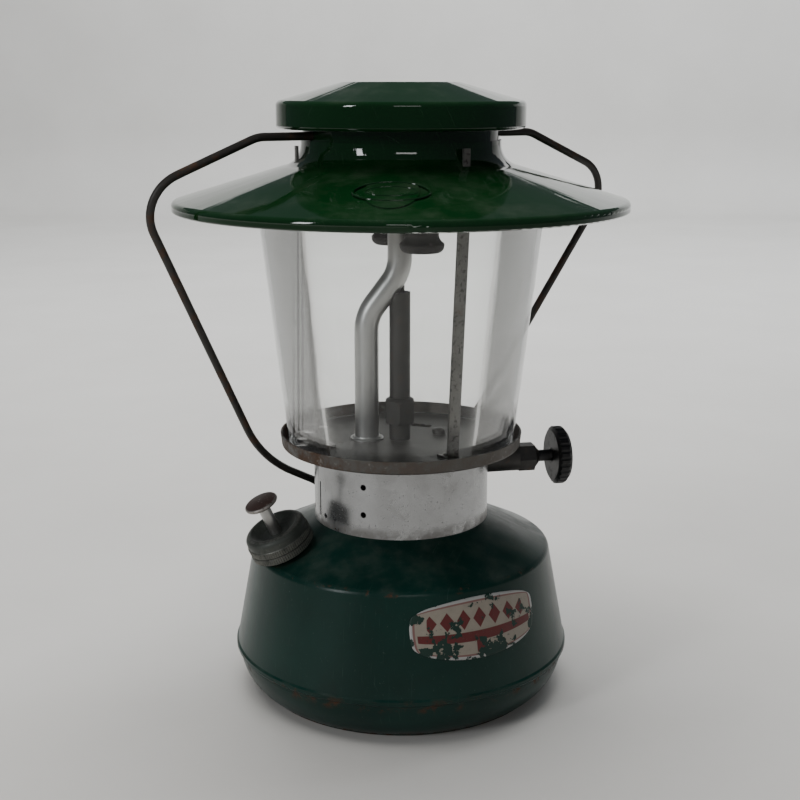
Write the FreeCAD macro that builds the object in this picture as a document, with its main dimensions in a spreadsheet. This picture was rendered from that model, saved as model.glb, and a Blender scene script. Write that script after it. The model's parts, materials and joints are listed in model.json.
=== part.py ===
import FreeCAD, Part
import Sketcher
import math
import os

# A two-burner liquid-fuel camping lantern: fuel tank, burner frame, glass globe,
# hood with wire bail, fuel valve and a pump that works through the filler cap.
# Millimetres, +Z up, origin at the centre of the tank's foot on the ground.
# The valve points to +X and the filler cap to -X and -Y.

DRIVING_SIZES = {
    # tank
    "foot_radius": 71.5,
    "foot_width": 4.5,
    "dome_height": 4.5,
    "seam_radius": 85.2,
    "seam_height": 23.0,
    "bead_height": 3.6,
    "bead_depth": 0.8,
    "pan_curve_radius": 24.0,
    "shoulder_radius": 76.0,
    "shoulder_height": 74.1,
    "shoulder_round": 3.5,
    "crown_radius": 40.0,
    "crown_height": 91.0,
    "sheet_wall": 0.9,
    "seam_clearance": 0.1,
    # filler and pump
    "filler_radius": 65.0,
    "filler_azimuth": 208.0,
    "neck_radius": 10.5,
    "neck_wall": 1.8,
    "neck_rise": 8.5,
    "filler_cap_radius": 16.2,
    "filler_cap_length": 12.6,
    "filler_cap_wall": 2.0,
    "knurl_depth": 0.42,
    "knurl_count": 84,
    "dish_depth": 3.2,
    "gasket_length": 1.6,
    "barrel_radius": 7.6,
    "barrel_wall": 0.7,
    "barrel_length": 52.0,
    "pump_cup_height": 14.5,
    "pump_rod_radius": 3.0,
    "pump_knob_radius": 8.6,
    "pump_knob_length": 2.8,
    "pump_knob_rise": 16.0,
    "running_clearance": 0.06,
    # burner frame
    "collar_radius": 44.3,
    "collar_wall": 0.9,
    "plate_height": 126.4,
    "plate_radius": 61.1,
    "plate_wall": 1.0,
    "rim_height": 6.7,
    "air_hole_radius": 3.6,
    "air_hole_circle": 50.8,
    "strap_circle": 43.5,
    "strap_width": 6.4,
    "strap_wall": 1.2,
    "strap_tab_width": 3.7,
    # mixing tube, generator and burners
    "mixing_tube_radius": 6.1,
    "tube_wall": 0.9,
    "mixing_offset": 16.8,
    "mixing_bend_low": 183.0,
    "mixing_bend_high": 221.0,
    "generator_x": -0.6,
    "generator_y": 4.0,
    "generator_radius": 2.4,
    "sleeve_radius": 5.3,
    "sleeve_top": 203.0,
    "generator_nut_flats": 14.4,
    "generator_nut_low": 136.0,
    "generator_nut_high": 149.0,
    "manifold_height": 249.0,
    "manifold_radius": 7.2,
    "burner_low": 225.0,
    "burner_gap": 1.9,
    "burner_azimuth": 292.2,
    "burner_lip_radius": 10.8,
    "burner_throat_radius": 8.2,
    # valve
    "valve_height": 113.5,
    "valve_azimuth": 12.0,
    "valve_radius": 7.0,
    "valve_reach": 63.0,
    "packing_nut_flats": 13.2,
    "packing_nut_length": 8.5,
    "valve_stem_radius": 2.0,
    "valve_hub_radius": 3.0,
    "valve_knob_radius": 15.2,
    "valve_knob_length": 6.6,
    "valve_knob_reach": 85.0,
    "valve_knob_teeth": 26,
    # globe
    "globe_low_radius": 57.0,
    "globe_high_radius": 71.4,
    "globe_length": 128.5,
    "globe_wall": 2.2,
    "globe_clearance": 0.35,
    # hood
    "shade_radius": 111.0,
    "shade_lip_low": 244.6,
    "shade_lip_high": 249.5,
    "shade_crease_radius": 57.5,
    "shade_crease_height": 265.6,
    "badge_circle": 80.0,
    "badge_azimuth": 267.0,
    "badge_length": 36.4,
    "badge_width": 24.0,
    "badge_relief": 0.6,
    "hood_neck_radius": 48.5,
    "hood_neck_height": 276.0,
    "hood_collar_height": 2.0,
    "hood_wall": 0.8,
    "hood_fit": 0.1,
    "vent_cap_radius": 60.2,
    "vent_cap_low": 283.4,
    "vent_cap_high": 296.0,
    "vent_cap_flat_radius": 28.5,
    "overall_height": 305.0,
    # bail
    "bail_wire_radius": 1.95,
    "bail_azimuth": 28.3,
    "bail_lean": 12.9,
    "bail_height": 280.4,
    "bail_hole_clearance": 0.5,
    "bail_crossbar_half": 74.5,
    "bail_corner_half": 131.5,
    "bail_corner_drop": 25.0,
    "bail_foot_half": 61.4,
    "bail_foot_drop": 168.3,
    "bail_hook_half": 28.0,
    "bail_hook_drop": 187.0,
}

doc = FreeCAD.newDocument("camping_lantern")
sheet = doc.addObject("Spreadsheet::Sheet", "sizes")
for row, (alias, number) in enumerate(DRIVING_SIZES.items(), start=1):
    sheet.set(f"A{row}", alias)
    sheet.set(f"B{row}", str(number))
    sheet.setAlias(f"B{row}", alias)
doc.recompute()


class Size:
    """A number together with the sheet expression that gives it."""

    def __init__(self, text, value):
        self.text = text
        self.value = float(value)

    def combined(self, sign, other, value):
        return Size(f"({self.text} {sign} {Size.of(other).text})", value)

    @staticmethod
    def of(thing):
        if isinstance(thing, Size):
            return thing
        return Size(f"({thing!r})", thing)

    def __add__(self, other):
        return self.combined("+", other, self.value + Size.of(other).value)

    def __sub__(self, other):
        return self.combined("-", other, self.value - Size.of(other).value)

    def __mul__(self, other):
        return self.combined("*", other, self.value * Size.of(other).value)

    def __truediv__(self, other):
        return self.combined("/", other, self.value / Size.of(other).value)

    def __radd__(self, other):
        return Size.of(other) + self

    def __rsub__(self, other):
        return Size.of(other) - self

    def __rmul__(self, other):
        return Size.of(other) * self

    def __neg__(self):
        return Size.of(0.0) - self


class Sheet:
    """The driving sizes, each as an attribute."""


d = Sheet()
for alias in DRIVING_SIZES:
    setattr(d, alias, Size(f"sizes.{alias}", sheet.get(alias)))


# --- building blocks -------------------------------------------------------

PIECES = []


def finished(piece, placement=None):
    """Register a finished sub-part and set it in its place."""
    if placement is not None:
        piece.Placement = placement
    PIECES.append(piece)
    return piece


def new_body(label):
    body = doc.addObject("PartDesign::Body", label)
    body.Label = label
    return body


def origin_plane(body, role):
    return next(item for item in body.Origin.OriginFeatures if item.Role == role)


def bind(sketch, constraint, size):
    """Add a dimension whose value comes from the sheet."""
    index = sketch.addConstraint(constraint)
    sketch.setExpression(f"Constraints[{index}]", size.text)


def pin(sketch, shape_index, end, x, y):
    """Fix one point of a sketch at a pair of sizes."""
    for kind, axis, size in (("DistanceX", -2, x), ("DistanceY", -1, y)):
        if not isinstance(size, Size) and size == 0:
            sketch.addConstraint(Sketcher.Constraint("PointOnObject", shape_index, end, axis))
        else:
            size = Size.of(size)
            bind(sketch, Sketcher.Constraint(kind, -1, 1, shape_index, end, size.value), size)


def arc_between(start, end, radius):
    """Arc from start to end; a positive radius turns left, a negative one right."""
    chord = end - start
    half = chord.Length / 2
    left = FreeCAD.Vector(-chord.y, chord.x, 0).normalize()
    side = 1 if radius > 0 else -1
    centre = (start + end) / 2 + left * side * math.sqrt(radius * radius - half * half)
    if side < 0:
        start, end = end, start
    first = math.atan2(start.y - centre.y, start.x - centre.x)
    last = math.atan2(end.y - centre.y, end.x - centre.x)
    if last < first:
        last += 2 * math.pi
    circle = Part.Circle(centre, FreeCAD.Vector(0, 0, 1), abs(radius))
    return Part.ArcOfCircle(circle, first, last)


def outline_sketch(body, name, role, points):
    """Closed outline through (x, y) or (x, y, radius) points; a radius bends the
    side that arrives at its point."""
    sketch = body.newObject("Sketcher::SketchObject", name)
    sketch.AttachmentSupport = [(origin_plane(body, role), "")]
    sketch.MapMode = "FlatFace"
    corners = [(point[0], point[1]) for point in points]
    spots = [FreeCAD.Vector(Size.of(x).value, Size.of(y).value, 0) for x, y in corners]
    ends = []
    for index, point in enumerate(points):
        start = spots[index - 1]
        if len(point) == 3:
            radius = Size.of(point[2])
            shape_index = sketch.addGeometry(arc_between(start, spots[index], radius.value))
            ends.append((1, 2) if radius.value > 0 else (2, 1))
            unsigned = radius if radius.value > 0 else -radius
            bind(sketch, Sketcher.Constraint("Radius", shape_index, unsigned.value), unsigned)
        else:
            sketch.addGeometry(Part.LineSegment(start, spots[index]))
            ends.append((1, 2))
    for index, (x, y) in enumerate(corners):
        following = (index + 1) % len(points)
        joint = Sketcher.Constraint("Coincident", index, ends[index][1], following, ends[following][0])
        sketch.addConstraint(joint)
        pin(sketch, index, ends[index][1], x, y)
    return sketch


def circle_sketch(body, name, role, circles):
    """Circles given as (x, y, radius)."""
    sketch = body.newObject("Sketcher::SketchObject", name)
    sketch.AttachmentSupport = [(origin_plane(body, role), "")]
    sketch.MapMode = "FlatFace"
    for x, y, radius in circles:
        centre = FreeCAD.Vector(Size.of(x).value, Size.of(y).value, 0)
        radius = Size.of(radius)
        circle = Part.Circle(centre, FreeCAD.Vector(0, 0, 1), radius.value)
        index = sketch.addGeometry(circle)
        bind(sketch, Sketcher.Constraint("Radius", index, radius.value), radius)
        pin(sketch, index, 3, x, y)
    return sketch


def turned_body(label, points):
    """A body turned about its own Z axis from an outline of (radius, height)."""
    body = new_body(label)
    sketch = outline_sketch(body, f"{label}_outline", "XZ_Plane", points)
    turn = body.newObject("PartDesign::Revolution", f"{label}_turn")
    turn.Profile = sketch
    turn.ReferenceAxis = (sketch, ["V_Axis"])
    turn.Angle = 360
    return body


def pad(body, sketch, length, both_ways=False):
    feature = body.newObject("PartDesign::Pad", f"{sketch.Name}_pad")
    feature.Profile = sketch
    length = Size.of(length)
    feature.Length = length.value
    feature.setExpression("Length", length.text)
    if both_ways:
        feature.SideType = "Symmetric"
    return feature


def notch_ring(body, sketch, count):
    """Cut a sketch right through the body and repeat the cut round its Z axis."""
    doc.recompute()
    before = body.Shape.Volume
    cut = body.newObject("PartDesign::Pocket", f"{sketch.Name}_cut")
    cut.Profile = sketch
    cut.Type = "ThroughAll"
    cut.SideType = "Symmetric"
    if count is not None:
        ring = body.newObject("PartDesign::PolarPattern", f"{sketch.Name}_ring")
        ring.Originals = [cut]
        ring.Axis = (origin_plane(body, "Z_Axis"), [""])
        ring.Angle = 360
        ring.Occurrences = int(count.value)
        ring.setExpression("Occurrences", count.text)
        body.Tip = ring
    doc.recompute()
    if body.Shape.Volume > before - 0.01:
        raise RuntimeError(f"{sketch.Name} cuts nothing")


def turned(label, points, placement=None):
    return finished(turned_body(label, points), placement)


def dome(radius, rise):
    """Radius of the arc that rises from a rim to its top on the axis."""
    return (radius * radius + rise * rise) / (rise * 2)


def ring_outline(inner, outer, low, high):
    return [(inner, low), (outer, low), (outer, high), (inner, high)]


def cylinder(name, radius, length, placement):
    tool = doc.addObject("Part::Cylinder", name)
    for prop, size in (("Radius", Size.of(radius)), ("Height", Size.of(length))):
        setattr(tool, prop, size.value)
        tool.setExpression(prop, size.text)
    tool.Placement = placement
    return tool


def block(name, length, width, height, placement):
    """A box centred on its placement in X and Y, standing on it in Z."""
    tool = doc.addObject("Part::Box", name)
    sizes = [Size.of(size) for size in (length, width, height)]
    for prop, size in zip(("Length", "Width", "Height"), sizes):
        setattr(tool, prop, size.value)
        tool.setExpression(prop, size.text)
    corner = FreeCAD.Vector(-sizes[0].value / 2, -sizes[1].value / 2, 0)
    tool.Placement = placement.multiply(FreeCAD.Placement(corner, FreeCAD.Rotation()))
    return tool


def joined(name, shapes):
    fuse = doc.addObject("Part::MultiFuse", name)
    fuse.Shapes = shapes
    fuse.Refine = True
    return fuse


def cut_away(label, base, tools):
    cut = doc.addObject("Part::Cut", label)
    cut.Label = label
    cut.Base = base
    cut.Tool = tools[0] if len(tools) == 1 else joined(f"{label}_tools", tools)
    cut.Refine = True
    return cut


def at(x, y, z, azimuth=0.0, tilt=0.0, lean=0.0):
    """Placement turned by azimuth about Z, then tilted about its Y or leaned about its X."""
    numbers = [Size.of(size).value for size in (x, y, z, azimuth, tilt, lean)]
    turn = FreeCAD.Rotation(FreeCAD.Vector(0, 0, 1), numbers[3])
    slope = FreeCAD.Rotation(FreeCAD.Vector(0, 1, 0), numbers[4])
    roll = FreeCAD.Rotation(FreeCAD.Vector(1, 0, 0), numbers[5])
    return FreeCAD.Placement(FreeCAD.Vector(*numbers[:3]), turn.multiply(slope).multiply(roll))


def around(radius, azimuth, height):
    """Placement at a distance from the lantern's axis, with its X pointing outwards."""
    angle = math.radians(Size.of(azimuth).value)
    reach = Size.of(radius).value
    return at(reach * math.cos(angle), reach * math.sin(angle), height, azimuth)


def bent_path(points, radii):
    """Wire of straight runs with a tangent arc at each inner point."""
    edges = []
    last = points[0]
    for before, corner, after, radius in zip(points, points[1:], points[2:], radii):
        into = (corner - before).normalize()
        out = (after - corner).normalize()
        turn = into.getAngle(out)
        setback = radius * math.tan(turn / 2)
        start = corner - into * setback
        end = corner + out * setback
        inward = (out - into).normalize()
        middle = corner + inward * (radius / math.cos(turn / 2) - radius)
        edges.append(Part.LineSegment(last, start).toShape())
        edges.append(Part.Arc(start, middle, end).toShape())
        last = end
    edges.append(Part.LineSegment(last, points[-1]).toShape())
    return Part.Wire(edges)


def rod_along(path, radius):
    start = path.Edges[0].firstVertex().Point
    direction = path.Edges[0].tangentAt(path.Edges[0].FirstParameter)
    circle = Part.makeCircle(radius, start, direction)
    return path.makePipeShell([Part.Wire([circle])], True, False)


def bent_piece(label, shape, placement=None):
    """Bends that leave one plane can't be drawn as a sketched spine, so the swept
    shape is set directly."""
    piece = doc.addObject("Part::Feature", label)
    piece.Label = label
    piece.Shape = shape
    return finished(piece, placement)


# --- tank ------------------------------------------------------------------

half_bead = d.bead_height / 2
seam_low = d.seam_height - half_bead
seam_high = d.seam_height + half_bead
side_slope = (d.seam_radius - d.shoulder_radius) / (d.shoulder_height - seam_high)
crown_slope = (d.crown_height - d.shoulder_height) / (d.shoulder_radius - d.crown_radius)
shell_bore = 9.0


def build_tank():
    wall = d.sheet_wall
    upper = turned_body("tank_upper_blank", [
        (shell_bore, d.crown_height - wall),
        (d.crown_radius, d.crown_height - wall),
        (d.shoulder_radius - wall, d.shoulder_height - wall),
        (d.seam_radius - wall, seam_high),
        (d.seam_radius - wall, seam_low),
        (d.seam_radius, seam_low),
        (d.seam_radius + d.bead_depth, d.seam_height - half_bead / 2),
        (d.seam_radius + d.bead_depth, d.seam_height + half_bead / 2),
        (d.seam_radius, seam_high),
        (d.shoulder_radius, d.shoulder_height),
        (d.crown_radius, d.crown_height),
        (shell_bore, d.crown_height),
    ])
    doc.recompute()
    soften(upper, [
        (d.shoulder_radius, d.shoulder_height, d.shoulder_round),
        (d.shoulder_radius - wall, d.shoulder_height - wall, d.shoulder_round - wall),
    ])
    hole = cylinder("filler_hole", d.neck_radius - 0.6, 30.0, filler_frame(-15.0))
    finished(cut_away("tank_upper_shell", upper, [hole]))

    rim = d.seam_radius - wall - d.seam_clearance
    pan_turn_low = 1.6
    turned("tank_bottom_pan", [
        (0, d.dome_height),
        (d.foot_radius - d.foot_width - 5.0, d.dome_height),
        (d.foot_radius - d.foot_width, 0.0),
        (d.foot_radius, 0.0),
        (d.foot_radius + 2.4, pan_turn_low, 3.0),
        (rim, seam_low - 2.0, d.pan_curve_radius),
        (rim, seam_high),
        (rim - wall, seam_high),
        (rim - wall, seam_low - 2.0),
        (d.foot_radius + 1.7, pan_turn_low + 0.75, -(d.pan_curve_radius - wall)),
        (d.foot_radius - 0.2, wall, -3.0),
        (d.foot_radius - d.foot_width + 0.5, wall),
        (d.foot_radius - d.foot_width - 4.6, d.dome_height + wall),
        (0, d.dome_height + wall),
    ])


def soften(body, corners):
    """Round the turned edges that lie at each (radius, height)."""
    for radius, height, size in corners:
        feature = body.newObject("PartDesign::Fillet", f"{body.Name}_round")
        base = body.Tip
        previous = feature.BaseFeature
        names = []
        for index, edge in enumerate(previous.Shape.Edges, start=1):
            point = edge.valueAt(edge.FirstParameter)
            reach = math.hypot(point.x, point.y)
            low = edge.BoundBox.ZMax - edge.BoundBox.ZMin < 0.001
            near = abs(reach - radius.value) < 0.01 and abs(point.z - height.value) < 0.01
            if low and near:
                names.append(f"Edge{index}")
        feature.Base = (previous, names)
        feature.Radius = size.value
        feature.setExpression("Radius", size.text)
        body.Tip = feature
        doc.recompute()


def filler_frame(rise):
    """Placement on the tank's cone, its Z square to the cone and out of the tank."""
    slope = math.degrees(math.atan(crown_slope.value))
    surface = d.crown_height - (d.filler_radius - d.crown_radius) * crown_slope
    base = around(d.filler_radius, d.filler_azimuth, surface)
    tilt = FreeCAD.Placement(FreeCAD.Vector(), FreeCAD.Rotation(FreeCAD.Vector(0, 1, 0), slope))
    lift = FreeCAD.Placement(FreeCAD.Vector(0, 0, Size.of(rise).value), FreeCAD.Rotation())
    return base.multiply(tilt).multiply(lift)


build_tank()


# --- filler cap and the pump inside it -------------------------------------

def build_filler():
    frame = filler_frame(0.0)
    bore = d.neck_radius - d.neck_wall
    turned("filler_neck", [
        (bore, -3.0),
        (d.neck_radius - 0.7, -3.0),
        (d.neck_radius - 0.7, 0.2),
        (d.neck_radius + 1.6, 0.2),
        (d.neck_radius + 1.6, 1.4),
        (d.neck_radius, 1.4),
        (d.neck_radius, d.neck_rise),
        (bore, d.neck_rise),
    ], frame)

    inside = d.neck_radius + d.running_clearance * 2
    cap_low = 2.0
    roof_low = d.neck_rise + d.gasket_length
    cap_high = cap_low + d.filler_cap_length
    rod_hole = d.pump_rod_radius + d.running_clearance
    turned("cap_gasket", ring_outline(
        d.barrel_radius + 0.4, inside - 0.4, d.neck_rise, roof_low - 0.05), frame)

    waist = cap_low + d.filler_cap_length * 0.30
    knurl_high = cap_low + d.filler_cap_length * 0.56
    smooth = d.filler_cap_radius - d.knurl_depth - 0.15
    shoulder = d.filler_cap_length * 0.24
    cap = turned_body("filler_cap_blank", [
        (inside, cap_low),
        (d.filler_cap_radius - 0.6, cap_low),
        (d.filler_cap_radius, cap_low + 0.6),
        (d.filler_cap_radius, waist - 0.5),
        (d.filler_cap_radius - 0.8, waist),
        (d.filler_cap_radius, waist + 0.5),
        (d.filler_cap_radius, knurl_high),
        (smooth, knurl_high + 0.5),
        (smooth, cap_high - shoulder),
        (smooth - shoulder, cap_high, shoulder),
        (smooth - shoulder - 0.9, cap_high - 0.4, 1.0),
        (rod_hole + 4.0, cap_high - d.dish_depth, -30.0),
        (rod_hole, cap_high - d.dish_depth),
        (rod_hole, roof_low),
        (inside, roof_low),
    ])
    knurl = circle_sketch(cap, "knurl", "XY_Plane", [
        (d.filler_cap_radius + d.knurl_depth * 0.2, 0, d.knurl_depth)])
    notch_ring(cap, knurl, d.knurl_count)
    cap.Label = "filler_cap"
    finished(cap, frame)

    barrel_bore = d.barrel_radius - d.barrel_wall
    barrel_high = roof_low - 0.05
    barrel_low = barrel_high - d.barrel_length
    turned("pump_barrel", ring_outline(barrel_bore, d.barrel_radius, barrel_low, barrel_high), frame)
    turned("check_valve", [
        (1.0, barrel_low - 4.0),
        (barrel_bore - 1.6, barrel_low - 4.0),
        (barrel_bore + 0.3, barrel_low - 0.05, 8.0),
        (barrel_bore + 0.3, barrel_low),
        (barrel_bore - 0.05, barrel_low),
        (barrel_bore - 0.05, barrel_low + 3.0),
        (1.0, barrel_low + 3.0),
    ], frame)

    knob_low = cap_high + d.pump_knob_rise - d.pump_knob_length
    cup_low = barrel_low + d.pump_cup_height
    rod_low = cup_low + 1.0
    turned("pump_rod", [
        (0, rod_low),
        (1.6, rod_low),
        (1.6, cup_low + 4.6),
        (d.pump_rod_radius, cup_low + 4.6),
        (d.pump_rod_radius, knob_low + 1.2),
        (0, knob_low + 1.2),
    ], frame)
    cup_radius = barrel_bore - d.running_clearance
    turned("pump_cup", [
        (1.6, cup_low + 3.0),
        (cup_radius - 1.3, cup_low + 3.0),
        (cup_radius - 1.0, cup_low),
        (cup_radius, cup_low),
        (cup_radius, cup_low + 4.0),
        (cup_radius - 0.6, cup_low + 4.6),
        (1.6, cup_low + 4.6),
    ], frame)
    knob_high = knob_low + d.pump_knob_length
    turned("pump_knob", [
        (0, knob_low + 1.2),
        (d.pump_rod_radius, knob_low + 1.2),
        (d.pump_rod_radius, knob_low - 1.6),
        (d.pump_rod_radius + 1.2, knob_low - 1.6),
        (d.pump_rod_radius + 2.2, knob_low, -1.4),
        (d.pump_knob_radius - 0.9, knob_low),
        (d.pump_knob_radius - 0.9, knob_high - 0.8, 1.05),
        (0, knob_high, dome(d.pump_knob_radius - 0.9, 0.8)),
    ], frame)


# --- collar and burner plate -----------------------------------------------

floor_top = d.plate_height + d.plate_wall
valve_boss_radius = d.sleeve_radius + 0.1
collar_low = d.crown_height - (d.collar_radius - d.crown_radius) * crown_slope


def valve_frame(reach=0.0):
    """Placement on the valve's axis, Z pointing out towards the knob."""
    base = at(d.generator_x, d.generator_y, d.valve_height, d.valve_azimuth, 90.0)
    shift = FreeCAD.Placement(FreeCAD.Vector(0, 0, Size.of(reach).value), FreeCAD.Rotation())
    return base.multiply(shift)


def bail_frame():
    """Placement on the middle of the bail's crossbar: X along it, Z up the bail's plane."""
    return at(0.0, 0.0, d.bail_height, d.bail_azimuth, 0.0, d.bail_lean)


def bail_point(across, drop, back=0.0):
    local = FreeCAD.Vector(Size.of(across).value, Size.of(back).value, -Size.of(drop).value)
    return bail_frame().multVec(local)


def hook_slot(side):
    """A tall slot in the collar that a hook of the bail draws out of."""
    spot = bail_point(d.bail_hook_half * side, d.bail_hook_drop)
    low = spot.z - d.bail_wire_radius.value - 0.6 + hook_tip() * math.sin(math.radians(d.bail_lean.value))
    place = at(spot.x, spot.y, low, d.bail_azimuth)
    name = "hook_slot_right" if side > 0 else "hook_slot_left"
    return block(name, d.bail_wire_radius * 2 + 1.6, 44.0, d.bail_wire_radius * 2 + 14.0, place)


def build_collar():
    inner = d.collar_radius - d.collar_wall
    rise = d.collar_wall * crown_slope
    band = turned_body("collar_blank", [
        (inner, collar_low + rise),
        (d.collar_radius, collar_low),
        (d.collar_radius, d.plate_height),
        (inner, d.plate_height),
    ])
    tools = [cylinder("valve_opening", d.valve_radius + 0.8, 30.0, valve_frame(30.0))]
    for azimuth, height, radius in ((245.6, 114.4, 1.5), (245.6, 100.5, 1.5), (190.0, 95.0, 1.3),
                                    (212.0, 94.6, 1.3)):
        place = around(d.collar_radius - 6.0, azimuth, height)
        turn = FreeCAD.Placement(FreeCAD.Vector(), FreeCAD.Rotation(FreeCAD.Vector(0, 1, 0), 90))
        tools.append(cylinder(f"band_hole_{len(tools)}", radius, 12.0, place.multiply(turn)))
    tools.append(block("band_slot", 12.0, 1.3, 17.5, around(d.collar_radius, 204.6, 93.5)))
    tools.append(block("band_seam", 12.0, 0.3, 60.0, around(d.collar_radius, 201.5, 80.0)))
    tools += [hook_slot(-1), hook_slot(1)]
    finished(cut_away("collar_band", band, tools))

    riser_hole = 11.4
    base_low = d.crown_height + 0.6
    turned("frame_base_plate", ring_outline(riser_hole, inner - 4.0, base_low, base_low + 1.2),
           at(0, 0, 0))
    nut_low = base_low + 1.2
    flats = 30.0
    nut = new_body("frame_nut")
    hexagon = hexagon_sketch(nut, "frame_nut_hexagon", flats)
    pad(nut, hexagon, 3.6)
    bore = circle_sketch(nut, "frame_nut_bore", "XY_Plane", [(0, 0, riser_hole)])
    notch_ring(nut, bore, None)
    finished(nut, at(0, 0, nut_low))


def hexagon_sketch(body, name, flats):
    corner = Size.of(flats) / (2 * math.cos(math.radians(30)))
    points = []
    for step in range(6):
        angle = math.radians(60 * step + 30)
        points.append((corner * math.cos(angle), corner * math.sin(angle)))
    return outline_sketch(body, name, "XY_Plane", points)


def build_plate():
    inner = d.plate_radius - d.plate_wall
    rim_top = floor_top + d.rim_height - d.plate_wall
    plate = turned_body("burner_plate_blank", [
        (0, d.plate_height),
        (inner - 1.2, d.plate_height),
        (inner + 0.4, d.plate_height + 1.6, 1.6),
        (d.plate_radius, rim_top),
        (d.plate_radius - d.plate_wall, rim_top),
        (inner - 0.7, d.plate_height + 2.2),
        (inner - 2.0, floor_top, -1.2),
        (0, floor_top),
    ])
    tools = [
        cylinder("generator_hole", valve_boss_radius + 0.15, 8.0,
                 at(d.generator_x, d.generator_y, d.plate_height - 4.0)),
        cylinder("mixing_hole", d.mixing_tube_radius + 0.15, 8.0,
                 at(d.generator_x - d.mixing_offset, d.generator_y, d.plate_height - 4.0)),
    ]
    for azimuth in (146, 161, 176, 190, -17, -32, -47):
        place = around(d.air_hole_circle, azimuth, d.plate_height - 4.0)
        tools.append(cylinder(f"air_hole_{len(tools)}", d.air_hole_radius, 8.0, place))
    for azimuth in (64, 70, 76):
        place = around(d.air_hole_circle * 0.62, azimuth, d.plate_height - 4.0)
        tools.append(cylinder(f"inner_hole_{len(tools)}", d.air_hole_radius * 0.75, 8.0, place))
    for inset, azimuth in PLATE_SCREWS:
        place = around(d.strap_circle - inset, azimuth, d.plate_height - 4.0)
        tools.append(cylinder(f"screw_hole_{len(tools)}", 1.6, 8.0, place))
    for azimuth in STRAP_AZIMUTHS.values():
        place = around(d.strap_circle - 4.5, azimuth, d.plate_height - 4.0)
        tools.append(cylinder(f"rivet_hole_{len(tools)}", 1.25, 8.0, place))
    finished(cut_away("burner_plate", plate, tools))


# Each screw's distance inside the strap circle, and its azimuth.
PLATE_SCREWS = ((19.8, 34.2), (15.0, 92.0))
STRAP_AZIMUTHS = {"strap_left": 197.0, "strap_right": 305.0, "strap_rear": 92.0}


def group(label, shapes, placement=None):
    """Identical fasteners share one node as separate solids."""
    compound = doc.addObject("Part::Compound", label)
    compound.Label = label
    compound.Links = shapes
    return finished(compound, placement)


def screw(name, place):
    body = turned_body(name, [
        (0, -4.0),
        (1.5, -4.0),
        (1.5, 0.0),
        (3.3, 0.0),
        (3.3, 2.2),
        (0, 3.2, dome(Size.of(3.3), 1.0)),
    ])
    body.Placement = place
    return body


def build_fasteners():
    screws = [screw(f"plate_screw_{index}", around(d.strap_circle - inset, azimuth, floor_top))
              for index, (inset, azimuth) in enumerate(PLATE_SCREWS)]
    group("plate_screws", screws)
    rivets = []
    for index, azimuth in enumerate(STRAP_AZIMUTHS.values()):
        body = turned_body(f"strap_rivet_{index}", [
            (0, -2.2),
            (2.2, -2.2),
            (2.2, -1.05),
            (1.2, -1.05),
            (1.2, 1.25),
            (2.1, 1.25),
            (0, 2.3, dome(Size.of(2.1), 1.05)),
        ])
        body.Placement = around(d.strap_circle - 4.5, azimuth, floor_top)
        rivets.append(body)
    group("strap_rivets", rivets)


def build_straps():
    """Each strap stands on a foot, leans out under the hood and ends in a narrow tab."""
    wall = d.strap_wall
    foot_tip = d.strap_circle - 8.5
    lean_low = floor_top + 4.0
    lean_high = d.shade_crease_height - 0.7
    tab_circle = d.hood_neck_radius + 3.2
    tab_high = d.hood_neck_height - 0.4
    for label, azimuth in STRAP_AZIMUTHS.items():
        strap = turned_strap(label, [
            (foot_tip, floor_top),
            (d.strap_circle + wall / 2, floor_top),
            (d.strap_circle + wall / 2, lean_low),
            (tab_circle + wall / 2, lean_high),
            (tab_circle + wall / 2, lean_high + 1.4),
            (tab_circle - wall / 2, lean_high + 1.4),
            (tab_circle - wall / 2, lean_high + 0.4),
            (d.strap_circle - wall / 2, lean_low + 0.4),
            (d.strap_circle - wall / 2, floor_top + wall),
            (foot_tip, floor_top + wall),
        ], [
            (tab_circle - wall / 2, lean_high + 1.0),
            (tab_circle + wall / 2, lean_high + 1.0),
            (tab_circle + wall / 2, tab_high),
            (tab_circle - wall / 2, tab_high),
        ])
        hole = cylinder(f"{label}_hole", 1.25, 10.0, at(d.strap_circle - 4.5, 0, floor_top - 5.0))
        finished(cut_away(label, strap, [hole]), at(0, 0, 0, azimuth))


def turned_strap(label, side, tab):
    body = new_body(f"{label}_blank")
    pad(body, outline_sketch(body, f"{label}_side", "XZ_Plane", side), d.strap_width, True)
    pad(body, outline_sketch(body, f"{label}_tab", "XZ_Plane", tab), d.strap_tab_width, True)
    return body


# --- valve -----------------------------------------------------------------

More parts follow.
